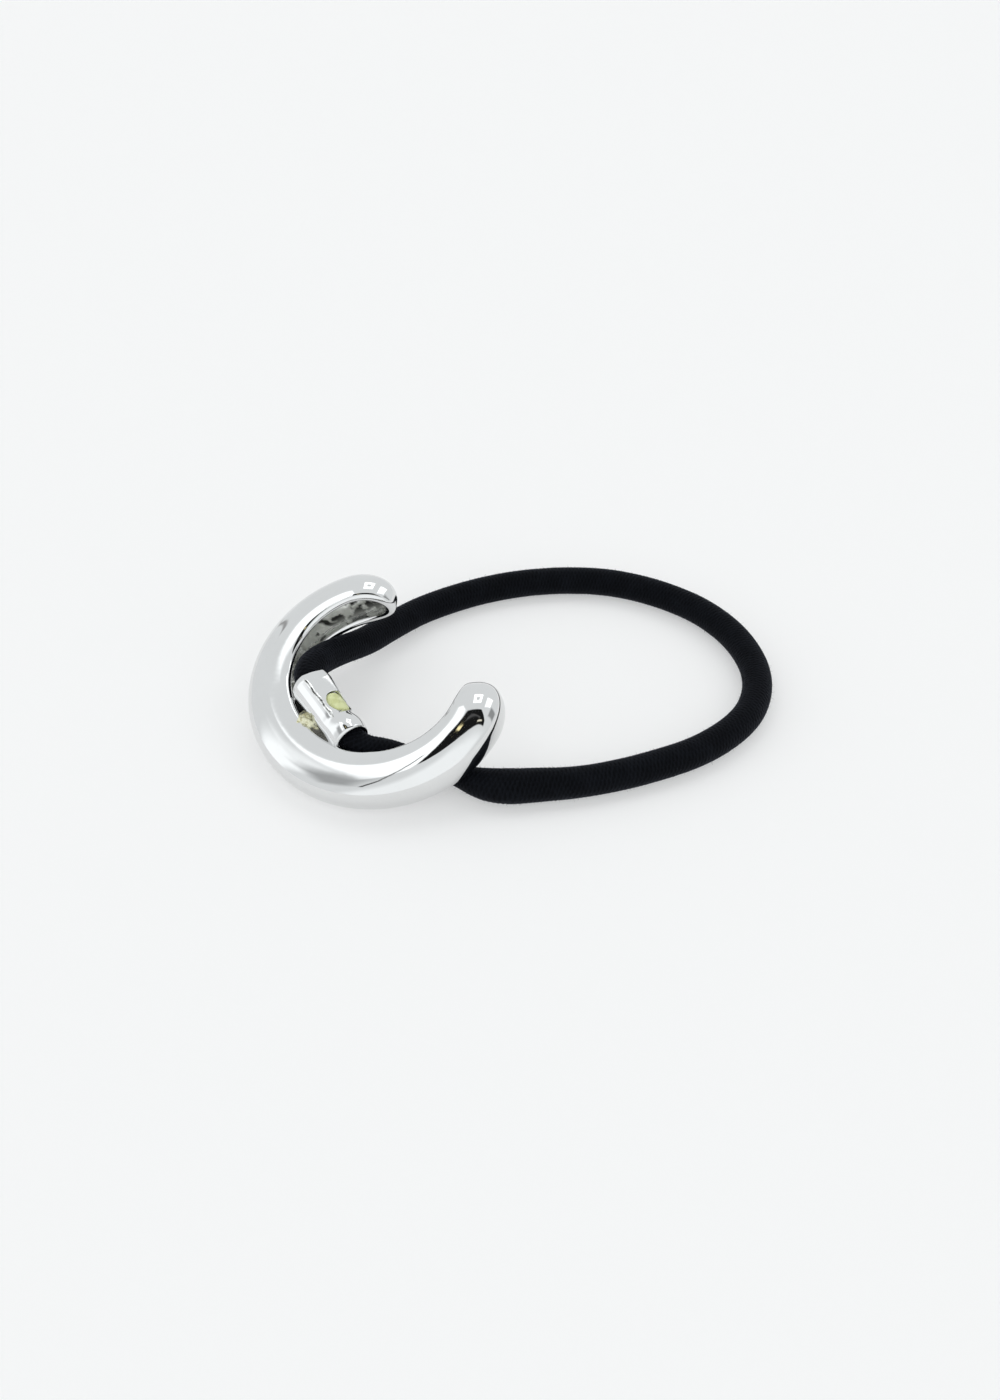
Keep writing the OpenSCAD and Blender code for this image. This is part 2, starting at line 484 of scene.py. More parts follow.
def hand_over(piece: Piece, slot: Slot, *nodes: str) -> None:
    """Parents a finished piece to the root body, hides the CAD nodes that it stands for and logs its triangles.

    Args:
        piece: the piece.
        slot: not used.
        nodes: the CAD nodes that it stands for.
    """
    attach(piece, "root")
    if nodes:
        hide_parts(*nodes)
    log.info("%s: %d triangles", piece.name, sum(len(face.vertices) - 2 for face in piece.data.polygons))


def full_turn(steps: int, first: int = 0) -> Array:
    """Angles in radians of even steps round a circle, from the given step on."""
    return np.radians(360 * (np.arange(steps) + first) / steps)


def bell(x: Array, middle: float | Array, width: float) -> Array:
    """A smooth bump of height 1 about the middle."""
    return np.exp(-((x - middle) / width) ** 2)


def ramp(x: Array, start: float, length: float) -> Array:
    """A straight rise from 0 at the start to 1 a length further on."""
    return np.clip((x - start) / length, 0, 1)


@dataclass(frozen=True)
class Lumps:
    """Smooth noise about 0, with its largest lumps' size in millimetres and its finer layers."""

    size: float
    layers: int
    seed: float

    def at(self, points: Array) -> Array:
        """The noise at points.

        Args:
            points: array whose last axis is x, y, z in millimetres.

        Returns:
            One number for each point, in the same rows and columns.
        """
        shift = Vector((self.seed, 2 * self.seed, 3 * self.seed))
        flat = points.reshape(-1, 3)
        values = [noise.fractal(Vector(p) / self.size + shift, 1.0, 2.0, self.layers) for p in flat]
        return np.reshape(values, points.shape[:-1])


@dataclass(frozen=True)
class Pose:
    """How the cuff lies on the table, in millimetres and degrees."""

    ring_x: float = 0.95
    ring_y: float = 0.35
    ring_height: float = 7.42
    yaw: float = 34.5
    rise: float = 20.0
    roll: float = 6.0

    def ring(self) -> Matrix:
        """The ring's place.

        Returns:
            Matrix from the ring's own frame to the table's.
        """
        turn = (
            Matrix.Rotation(math.radians(self.yaw), 4, "Z")
            @ Matrix.Rotation(math.radians(-self.rise), 4, "Y")
            @ Matrix.Rotation(math.radians(self.roll), 4, "X")
        )
        return Matrix.Translation((self.ring_x, self.ring_y, self.ring_height)) @ turn


@dataclass(frozen=True)
class Pit:
    """A pit low in the channel, sunk and painted dark as painted shade, by its place on the ring's plan."""

    x: float
    y: float
    radius: float


@dataclass(frozen=True)
class CuffShell:
    """The cast C: a dome outside, a rough channel inside, closed round tips. Millimetres and degrees."""

    ring_back: float = 11.8
    ring_side: float = 13.3
    arm_sweep: float = 136.0
    cant: float = 8.5
    depths: tuple = (5.6, 5.0, 4.7)
    halves: tuple = (3.1, 3.5, 4.1)
    middle_share: float = 0.6
    lower_share: float = 0.9
    upper_power: float = 2.2
    lower_power: float = 2.7
    widest_rise: float = 0.3
    tip_bulge: float = 0.8
    tip_round: float = 5.6
    wall: float = 1.1
    tip_wall: float = 1.5
    arm_steps: int = 300
    tip_steps: int = 36
    dome_steps: int = 110
    channel_steps: int = 84
    lip_steps: int = 8
    cast_edge_steps: int = 4
    coarse: Lumps = Lumps(1.8, 2, 3.1)
    fine: Lumps = Lumps(0.6, 3, 8.7)
    hollows: Lumps = Lumps(1.9, 2, 4.2)
    coarse_lift: float = 0.26
    fine_lift: float = 0.07
    coarse_stray: float = 0.5
    fine_stray: float = 0.6
    hollow_level: float = 0.5
    hollow_edge: float = 0.16
    tip_hollows: float = 0.4
    # Pits sink by pit_depth; pit_show sets how strongly they are painted near-black as painted shade.
    pit_top: float = 0.5
    pit_edge: float = 0.2
    pit_depth: float = 0.4
    pit_show: float = 2.5
    lip_fade: float = 0.5
    end_fade: float = 0.35
    pits: tuple = (
        Pit(2.2, 14.6, 0.75), Pit(1.4, 15.2, 0.4), Pit(3.2, 13.9, 0.45), Pit(4.6, 15.2, 0.5), Pit(5.4, 14.2, 0.4),
        Pit(4.6, 13.5, 0.45), Pit(6.4, 13.3, 0.9), Pit(7.4, 12.2, 1.1), Pit(6.3, 11.7, 0.5), Pit(8.4, 11.2, 1.0),
        Pit(-1.6, 14.6, 0.3), Pit(-4.4, 13.2, 0.3),
    )

    def as_angle(self, length: float) -> float:
        """Length on the plan as an angle in degrees."""
        return math.degrees(length / ((self.ring_back + self.ring_side) / 2))

    def sweep(self, inset: float) -> float:
        """Angle from the back to a tip of a surface set in from the outside."""
        return self.arm_sweep - self.as_angle(self.tip_wall if inset > 0 else 0)

    def along(self, share: Array, column: tuple) -> Array:
        """Depth or half width along an arm.

        Args:
            share: share of the way from the back to the tip.
            column: its sizes at the back, at middle_share and at the tip.

        Returns:
            The size at each share.
        """
        at = self.middle_share ** 2
        middle, end = column[1] - column[0], column[2] - column[0]
        fourth = (end - middle / at) / (1 - at)
        return column[0] + (end - fourth) * share ** 2 + fourth * share ** 4

    def outward(self, angle: Array) -> Array:
        """Outward directions of the plan.

        Args:
            angle: angles round the ring.

        Returns:
            A unit row x, y, 0 for each.
        """
        a = np.radians(angle)
        v = np.stack([-self.ring_side * np.cos(a), self.ring_back * np.sin(a), 0 * a], -1)
        return v / np.linalg.norm(v, axis=-1, keepdims=True)

    def stations(self, inset: float) -> Array:
        """Angles from one tip to the other.

        Args:
            inset: how far the surface is set in from the outside.

        Returns:
            The angles, closer together at the round tips.
        """
        sweep, round_len = self.sweep(inset), self.tip_round - inset
        turn = np.radians(90 * (np.arange(self.tip_steps) + 0.5) / self.tip_steps)
        ends = sweep - self.as_angle(1) * round_len * (1 - np.cos(turn))
        body = (sweep - self.as_angle(round_len)) * np.linspace(-1, 1, self.arm_steps + 1)
        return np.concatenate([-ends, body, ends[::-1]])

    def dome(self, angle: Array, across: Array, inset: float) -> Array:
        """Points of the dome.

        Args:
            angle: angles round the ring.
            across: angles across the section, from -90 at the lower lip to 90 at the upper one.
            inset: how far the surface is set in from the outside.

        Returns:
            The points, by angle and across.
        """
        sweep = self.sweep(inset)
        angle, across = np.meshgrid(angle, across, indexing="ij")
        share = np.abs(angle) / sweep
        fade = np.minimum((sweep - np.abs(angle)) / self.as_angle(1) / (self.tip_round - inset), 1)
        close = np.sqrt(1 - (1 - fade) ** 2)
        a, c, t = np.radians(angle), np.radians(across), math.radians(self.cant)
        side = np.where(across < 0, -1.0, 1.0)
        bend = 2 / np.where(across < 0, self.lower_power, self.upper_power)
        depth = (self.along(share, self.depths) - inset) * close ** self.tip_bulge * np.abs(np.cos(c)) ** bend
        width = np.where(across < 0, self.lower_share, 1.0)
        half = self.along(share, self.halves) * width - inset - side * self.widest_rise
        height = (self.widest_rise + side * half * np.abs(np.sin(c)) ** bend) * close
        plan = np.stack([-self.ring_back * np.cos(a), self.ring_side * np.sin(a), 0 * a], -1)
        lift = depth * math.sin(t) + height * math.cos(t)
        out = depth * math.cos(t) - height * math.sin(t)
        return plan + self.outward(angle) * out[..., None] + lift[..., None] * UP

    def lip(self, start: Array, end: Array, angle: Array) -> Array:
        """Round lips from one edge to the other, without the edges themselves.

        Args:
            start: points of the first edge.
            end: points of the other edge.
            angle: their angles round the ring.

        Returns:
            The points, by angle and step.
        """
        t = math.radians(self.cant)
        middle, half = (start + end) / 2, (start - end) / 2
        inward = -(self.outward(angle) * math.cos(t) + UP * math.sin(t))
        bulge = inward * np.linalg.norm(half, axis=-1, keepdims=True)
        turn = np.radians(180 * np.arange(1, self.lip_steps) / self.lip_steps)[None, :, None]
        return middle[:, None] + half[:, None] * np.cos(turn) + bulge[:, None] * np.sin(turn)

    def build(self, pose: Pose, finish: Finish) -> Piece:
        """Builds the shell with its rough channel.

        Args:
            pose: how the cuff lies.
            finish: its metal.

        Returns:
            The piece.
        """
        outer, inner = self.stations(0), self.stations(self.wall)
        dome = self.dome(outer, np.linspace(-90, 90, self.dome_steps + 1), 0)
        channel = self.dome(inner, np.linspace(90, -90, self.channel_steps + 1), self.wall)
        channel, pits = self.roughened(channel, inner)
        upper = self.lip(dome[:, -1], channel[:, 0], inner)
        lower = self.lip(channel[:, -1], dome[:, 0], inner)
        surface = Surface()
        number = surface.add_grid(np.concatenate([dome, upper, channel, lower], 1))
        for row in (number[0], number[-1]):
            self.close_tip(surface, row)
        # pit: the painted shade in the channel's pits, for the metal's near-black paint.
        pit = np.zeros(number.shape)
        first = self.dome_steps + self.lip_steps
        pit[:, first:first + pits.shape[1]] = pits
        numbers = {"cast": self.cast_share(len(number)), "pit": pit.reshape(-1)}
        return make_piece("cuff_shell", surface, pose.ring(), finish, numbers)

    def close_tip(self, surface: Surface, row: Array) -> None:
        """Closes the tiny ring that is left at a tip: dome, lips and channel end.

        Args:
            surface: the shell so far.
            row: the ring's point numbers.
        """
        upper = row[self.dome_steps:][:self.lip_steps + 1]
        lower = np.roll(row[::-1], 1)[:self.lip_steps + 1]
        surface.faces.extend(zip(upper, upper[1:], lower[1:], lower))
        channel = row[self.dome_steps + self.lip_steps:][:self.channel_steps + 1]
        surface.faces += [tuple(row[:self.dome_steps + 1]), tuple(channel)]

    def roughened(self, channel: Array, angle: Array) -> tuple[Array, Array]:
        """Gives the channel the lumps and pits of its casting, which fade out at the lips.

        Args:
            channel: its smooth points, by row and column.
            angle: each row's angle round the ring.

        Returns:
            The lumpy points and how far each lies in a pit, from 0 to 1, which the metal paints near-black as painted
            shade.
        """
        normal = np.cross(np.gradient(channel, axis=0), np.gradient(channel, axis=1))
        normal /= np.maximum(np.linalg.norm(normal, axis=-1, keepdims=True), 1e-9)
        coarse, fine = self.coarse.at(channel), self.fine.at(channel)
        tipward = (np.abs(angle) / self.arm_sweep)[:, None]
        pits = ramp(self.hollows.at(channel) + self.tip_hollows * tipward, self.hollow_level, self.hollow_edge)
        low = np.clip(self.pit_top - channel[..., 2], 0, 1)
        for pit in self.pits:
            away = np.hypot(channel[..., 0] - pit.x, channel[..., 1] - pit.y)
            away += self.coarse_stray * coarse + self.fine_stray * fine
            pits = np.maximum(pits, low * ramp(pit.radius - away, 0, self.pit_edge))
        ends, spread = (
            np.sin(np.linspace(0, math.pi, count)) ** power
            for count, power in zip(channel.shape, (self.end_fade, self.lip_fade))
        )
        fade = spread[None, :] * ends[:, None]
        lift = (self.coarse_lift * coarse + self.fine_lift * fine - self.pit_depth * pits) * fade
        return channel + normal * lift[..., None], pits * np.clip(self.pit_show * fade, 0, 1)

    def cast_share(self, rows: int) -> Array:
        """How far each point is left as cast.

        Args:
            rows: number of rows round the ring.

        Returns:
            0 on the polished dome and lips, 1 in the channel.
        """
        lips = np.zeros(self.lip_steps - 1)
        into = ramp(np.arange(self.channel_steps + 1), 0, self.cast_edge_steps)
        section = np.concatenate([np.zeros(self.dome_steps + 1), lips, np.minimum(into, into[::-1]), lips])
        return np.tile(section, rows)


@dataclass(frozen=True)
class Bead:
    """A blob in the channel, by its angle round the ring."""

    angle: float
    radius: float


@dataclass(frozen=True)
class CastBeads:
    """Blobs of metal that the casting left in the channel beside the far mouth. Millimetres and degrees."""

    shell: CuffShell = CuffShell()
    beads: tuple = (Bead(33.0, 0.65), Bead(39.5, 0.7), Bead(47.0, 0.7), Bead(55.5, 0.8), Bead(65.0, 0.9))
    lip_across: float = 88.0
    lift: float = 0.4
    reach: float = 2.9
    proud: float = 0.6
    crumple: Lumps = Lumps(0.9, 3, 2.4)
    crumple_share: float = 0.3
    rows: int = 28
    sides: int = 36

    def build(self, pose: Pose, finish: Finish) -> Piece:
        """Builds the blobs, each rooted in the channel's floor.

        Args:
            pose: how the cuff lies.
            finish: the cast metal.

        Returns:
            The piece.
        """
        surface = Surface()
        pole = np.radians(180 * (np.arange(self.rows) + 0.5) / self.rows)[:, None]
        turn = full_turn(self.sides)[None, :]
        edges = np.array([self.lip_across, -self.lip_across])
        for number, bead in enumerate(self.beads):
            at = np.array([bead.angle])
            upper, lower = self.shell.dome(at, edges, self.shell.wall)[0]
            outward = self.shell.outward(at)[0]
            middle = self.lift * upper + (1 - self.lift) * lower + outward * (self.reach - self.proud)
            ball = (
                outward * (self.reach * np.cos(pole) + 0 * turn)[..., None]
                + np.cross(UP, outward) * (bead.radius * np.sin(pole) * np.cos(turn))[..., None]
                + UP * (bead.radius * np.sin(pole) * np.sin(turn))[..., None]
            )
            swell = 1 + self.crumple_share * self.crumple.at(ball + 7 * number)
            surface.add_capped(middle + ball * swell[..., None])
        numbers = {"cast": np.ones(surface.count), "pit": np.zeros(surface.count)}
        return make_piece("cast_beads", surface, pose.ring(), finish, numbers)


@dataclass(frozen=True)
class Bail:
    """The short tube that carries the cord, with its round window. Millimetres and degrees."""

    diameter: float = 5.3
    bore: float = 3.9
    length: float = 10.7
    reach: float = 7.5
    shift: float = -0.4
    rise: float = 2.4
    turn: float = -3.0
    slope: float = 5.0
    window: float = 3.5
    window_lip: float = 0.12
    window_rise: float = 41.0
    window_shift: float = -0.3
    around: int = 168
    along_steps: int = 120
    patch_around: int = 80
    patch_along: int = 54
    patch_rings: int = 12
    patch_crowding: float = 0.8
    lip_steps: int = 10
    bulb_turn: float = 10.0
    bulb_at: float = -4.1
    bulb_width: float = 1.0
    bulb_rise: float = 0.2
    waist_at: float = -2.3
    waist_width: float = 0.6
    waist_depth: float = 0.16
    facet_half: float = 36.0
    facet_start: float = -2.4
    facet_fade: float = 0.8
    groove_turn: float = -57.0
    groove_start: float = -2.8
    groove_end: float = 4.7
    groove_fades: tuple = (0.8, 0.6)
    groove_width: float = 0.11
    groove_depth: float = 0.045
    groove_sway: float = 0.05
    groove_bends: float = 2.3
    shoulder_start: float = 4.2
    shoulder_length: float = 1.0
    shoulder_drop: float = 0.15
    taper_turn: float = 70.0
    taper_start: float = 4.0
    taper_length: float = 4.5
    taper_drop: float = 0.55
    # Patches of near-black paint along the seam groove: a painted dark reflection.
    painted_dark: Lumps = Lumps(0.8, 2, 6.3)
    painted_dark_share: float = 0.7
    painted_dark_strength: float = 2.2

    def frame(self, pose: Pose) -> Matrix:
        """The tube's place.

        Args:
            pose: how the cuff lies.

        Returns:
            Matrix of the tube: Z along its axis to the far mouth, X through the window's middle.
        """
        at_bail = (
            Matrix.Translation((-self.reach, self.shift, self.rise))
            @ Matrix.Rotation(math.radians(self.turn), 4, "Z")
            @ Matrix.Rotation(math.radians(self.slope - 90), 4, "X")
        )
        return pose.ring() @ at_bail @ Matrix.Rotation(math.radians(-self.window_rise), 4, "Z")

    @property
    def lip(self) -> float:
        """Radius of the rounded edges."""
        return (self.diameter - self.bore) / 4

    @property
    def middle(self) -> float:
        """Radius midway between the skins."""
        return (self.diameter + self.bore) / 4

    @property
    def end(self) -> float:
        """Height at which the mouths' rounding starts."""
        return self.length / 2 - self.lip

    def turns(self) -> Array:
        """Angles round the tube, with the window's middle at 0 and the joint opposite."""
        return full_turn(self.around, -self.around // 2)

    def skin(self, surface: Surface, radius: float) -> tuple[Array, Array, Array]:
        """Adds one skin of the tube with the window's round hole in it.

        Args:
            surface: where it goes.
            radius: the skin's radius.

        Returns:
            Point numbers of the first and last ring and of the hole's edge.
        """
        height = np.linspace(-self.end, self.end, self.along_steps + 1)
        row = int(round((self.window_shift + self.end) / (height[1] - height[0]))) - self.patch_along // 2
        column = (self.around - self.patch_around) // 2
        top, right = row + self.patch_along, column + self.patch_around
        place = np.stack(np.meshgrid(self.turns(), height), -1)
        skip = np.zeros((self.along_steps, self.around), bool)
        skip[row:top, column:right] = True
        number = surface.add_grid(self.on_skin(place[..., 0], place[..., 1], radius), skip)
        border = (
            [(row, c) for c in range(column, right)]
            + [(r, right) for r in range(row, top)]
            + [(top, c) for c in range(right, column, -1)]
            + [(r, column) for r in range(top, row, -1)]
        )
        ring = np.array([number[b] for b in border])
        spots = np.array([place[b] for b in border])
        hole = self.hole_edge(spots, radius)
        for i in range(1, self.patch_rings + 1):
            share = (i / self.patch_rings) ** self.patch_crowding
            turned, raised = ((1 - share) * spots + share * hole).T
            ring = surface.add_ring(ring, self.on_skin(turned, raised, radius))
        return number[0], number[-1], ring

    def on_skin(self, turn: Array, height: Array, radius: float) -> Array:
        """Points of a skin, where the outer one has the dents and swellings of handwork."""
        grown = radius + (self.swell(turn, height) if radius > self.bore / 2 else 0)
        return np.stack([grown * np.cos(turn), grown * np.sin(turn), height], -1)

    def swell(self, turn: Array, height: Array | float) -> Array:
        """Rise of the outer skin: a taper to a waist and a bulb at the near mouth, a groove, a flat and a shoulder.

        Args:
            turn: place round the tube, from the window's middle, in radians.
            height: place along the tube, from its middle to the far mouth.

        Returns:
            The rise.
        """
        facing = 0.5 + 0.5 * np.cos(turn - math.radians(self.bulb_turn))
        bulb = self.bulb_rise * bell(height, self.bulb_at, self.bulb_width) * facing
        waist = self.waist_depth * bell(height, self.waist_at, self.waist_width) * facing ** 2
        groove = self.groove_depth * self.groove_line(turn, height)
        half = math.radians(self.facet_half)
        off = np.minimum(np.abs(turn - math.radians(self.groove_turn) - half), half)
        flat_share = ramp(height, self.facet_start, self.facet_fade)
        facet = (1 - math.cos(half) / np.cos(off)) * self.diameter / 2 * flat_share
        shoulder = self.shoulder_drop * ramp(height, self.shoulder_start, self.shoulder_length) ** 2
        inner_side = (0.5 + 0.5 * np.cos(turn - math.radians(self.taper_turn))) ** 2
        taper = self.taper_drop * np.clip((self.taper_start - height) / self.taper_length, 0, 1) * inner_side
        return bulb - waist - groove - facet - shoulder - taper

    def groove_line(self, turn: Array, height: Array | float) -> Array:
        """The seam beside the window.

        Args:
            turn: place round the tube.
            height: place along it.

        Returns:
            How far each place lies in the seam, from 0 to 1.
        """
        across = (turn - math.radians(self.groove_turn)) * self.diameter / 2
        fade_in, fade_out = self.groove_fades
        reach = ramp(height, self.groove_start, fade_in) * np.clip((self.groove_end - height) / fade_out, 0, 1)
        return bell(across, self.groove_sway * np.sin(self.groove_bends * height), self.groove_width) * reach

    def hole_edge(self, spots: Array, radius: float) -> Array:
        """The window's edge on a skin.

        Args:
            spots: turn and height of each border spot of the patch.
            radius: the skin's radius.

        Returns:
            Turn and height of the hole's edge, opposite each spot.
        """
        size = self.window / 2 + self.window_lip
        angle = np.arctan2(spots[:, 1] - self.window_shift, spots[:, 0] * radius)
        turned = np.arcsin(np.clip(size * np.cos(angle) / radius, -1, 1))
        return np.stack([turned, self.window_shift + size * np.sin(angle)], -1)

    def rounding(self, rise: Array) -> Iterator[tuple[float, Array]]:
        """Steps round an edge from the risen outer skin to the inner one: share out of the wall, and radius."""
        for bend in math.pi * np.arange(1, self.lip_steps) / self.lip_steps:
            yield math.sin(bend), self.middle + self.lip * math.cos(bend) + rise * (1 + math.cos(bend)) / 2

    def build(self, pose: Pose, finish: Finish) -> Piece:
        """Builds the tube.

        Args:
            pose: how the cuff lies.
            finish: its metal.

        Returns:
            The piece.
        """
        surface = Surface()
        outer = self.skin(surface, self.diameter / 2)
        inner = self.skin(surface, self.bore / 2)
        turn = self.turns()
        for side, ring, last in ((-1, outer[0], inner[0]), (1, outer[1], inner[1])):
            for out, radius in self.rounding(self.swell(turn, side * self.end)):
                height = side * (self.end + self.lip * out)
                row = np.stack([radius * np.cos(turn), radius * np.sin(turn), 0 * turn + height], -1)
                ring = surface.add_ring(ring, row)
            surface.bridge(ring, last)
        self.close_window(surface, outer[2], inner[2])
        points = surface.all_points()
        outer_skin = np.hypot(points[:, 0], points[:, 1]) > self.middle - self.lip / 2
        # The seam groove on the outer skin is painted near-black in patches, a painted dark reflection, and made
        # rough as cast.
        seam = self.groove_line(np.arctan2(points[:, 1], points[:, 0]), points[:, 2]) * outer_skin
        seam *= self.painted_dark_strength * np.clip(self.painted_dark_share + self.painted_dark.at(points), 0, 1)
        seam = np.clip(seam, 0, 1)
        return make_piece("bail_tube", surface, self.frame(pose), finish, {"cast": seam, "pit": seam})

    def close_window(self, surface: Surface, outer: Array, inner: Array) -> None:
        """Rounds the window's edge from the outer skin to the inner one.

        Args:
            surface: the tube so far.
            outer: point numbers of the hole's edge in the outer skin.
            inner: the same in the inner skin.
        """
        edge = surface.all_points()[outer]
        angle = np.arctan2(edge[:, 2] - self.window_shift, edge[:, 1])
        ring = outer
        for out, radius in self.rounding(np.hypot(edge[:, 0], edge[:, 1]) - self.diameter / 2):
            size = self.window / 2 + self.window_lip * (1 - out)
            y, z = size * np.cos(angle), size * np.sin(angle)
            row = np.stack([np.sqrt(radius ** 2 - y ** 2), y, z + self.window_shift], -1)
            ring = surface.add_ring(ring, row)
        surface.bridge(ring, inner)


@dataclass(frozen=True)
class SeamGlue:
    """The cured glue in the window, in the bail's own frame. Millimetres."""

    bail: Bail = Bail()
    gap: float = 0.02
    sunk: float = 0.6
    crown: float = 0.14
    rim_share: float = 0.84
    rim_drop: float = 0.22
    floor: float = 1.8
    inner_shares: tuple = (0.04, 0.9, 14)
    rim_shares: tuple = (0.92, 1, 6)
    sides: int = 96

    def build(self, pose: Pose, finish: Finish) -> Piece:
        """Builds the glue with its slightly domed skin.

        Args:
            pose: how the cuff lies.
            finish: the glue's finish.

        Returns:
            The piece.
        """
        size = self.bail.window / 2 - self.gap
        angle = full_turn(self.sides)
        share = np.concatenate([np.linspace(*self.inner_shares), np.linspace(*self.rim_shares)])[:, None]
        y = size * share * np.cos(angle)
        z = size * share * np.sin(angle) + self.bail.window_shift
        crown = self.crown * (1 - share ** 2) - self.rim_drop * ramp(share, self.rim_share, 1 - self.rim_share)
        outside = self.bail.diameter / 2 - self.sunk
        top = np.stack([np.sqrt(outside ** 2 - y ** 2) + crown, y, z], -1)
        low = np.stack([np.sqrt(self.floor ** 2 - y ** 2), y, z], -1)
        surface = Surface()
        surface.add_capped(np.concatenate([top, low[::-1]]))
        return make_piece("window_glue", surface, self.bail.frame(pose), finish)


@dataclass(frozen=True)
class SolderJoint:
    """The lumpy solder between the bail and the shell's upper lip, in the ring's frame, whose far part sinks and is
    painted near-black as painted shade in the gap. Millimetres.
    """

    bail: Bail = Bail()
    shell: CuffShell = CuffShell()
    near_end: float = -5.2
    far_end: float = 6.0
    end_round: float = 0.5
    bite: float = 0.5
    thickness: float = 1.5
    sunk: float = 0.6
    squareness: float = 0.6
    # The web's far part drops by dark_drop and is painted near-black: a sheet of painted shade in the gap under the
    # tube.
    dark_start: float = 2.2
    dark_fade: float = 0.8
    dark_drop: float = 1.3
    lumps: Lumps = Lumps(1.2, 3, 5.5)
    lump_lift: float = 0.3
    crumbs: Lumps = Lumps(0.4, 3, 1.3)
    crumb_lift: float = 0.12
    heap_at: float = 0.6
    heap_width: float = 1.3
    heap_lift: float = 0.7
    heap_lumps: Lumps = Lumps(0.7, 2, 9.1)
    bright_half: float = 1.8
    bright_stray: float = 1.2
    bright_lumps: Lumps = Lumps(0.9, 2, 3.7)
    rows: int = 140
    sides: int = 64

    def build(self, pose: Pose, finish: Finish) -> Piece:
        """Builds the web of solder that runs along the gap, a rounded section at each place along it.

        Args:
            pose: how the cuff lies.
            finish: the solder's finish.

        Returns:
            The piece.
        """
        y = np.linspace(self.near_end, self.far_end, self.rows)[:, None]
        angle = full_turn(self.sides)[None, :]
        across, upward = np.cos(angle), np.sin(angle)
        close = np.clip(np.minimum(y - self.near_end, self.far_end - y) / self.end_round, 0.02, 1) ** 0.5
        rim = -self.shell.ring_back * np.sqrt(1 - (y / self.shell.ring_side) ** 2) - self.bite
        tube = self.bite - self.bail.reach - self.bail.diameter / 2
        # dark: the sunken far part of the web, painted near-black as painted shade.
        dark = ramp(y, self.dark_start, self.dark_fade)
        x = (rim + tube) / 2 + (tube - rim) / 2 * np.sign(across) * np.abs(across) ** self.squareness
        z = self.bail.rise - self.sunk - self.dark_drop * dark + self.thickness / 2 * close * upward
        grid = np.stack([x, y + 0 * x, z], -1)
        lift = self.lump_lift * self.lumps.at(grid) + self.crumb_lift * self.crumbs.at(grid)
        grid[..., 2] += lift * upward
        heap = self.heap_lift * bell(y, self.heap_at, self.heap_width) * np.maximum(upward, 0)
        grid[..., 2] += heap * (1 + self.heap_lumps.at(grid))
        surface = Surface()
        surface.add_capped(grid)
        off = np.abs(grid[..., 1] - self.heap_at + self.bright_stray * self.bright_lumps.at(grid))
        bright = np.clip(1 - off / self.bright_half, 0, 1) ** 0.5
        # pit marks the painted shade of the sunken far part.
        numbers = {
            "dull": np.append(1 - bright, (1, 1)),
            "pit": np.append(np.repeat(dark[:, 0], self.sides), (0, 1)),
        }
        return make_piece("solder_joint", surface, pose.ring(), finish, numbers)


@dataclass(frozen=True)
class Stop:
    """One point of the cord's route, with the cord's radius there, in millimetres."""

    x: float
    y: float
    z: float = 2.0
    radius: float = 2.0


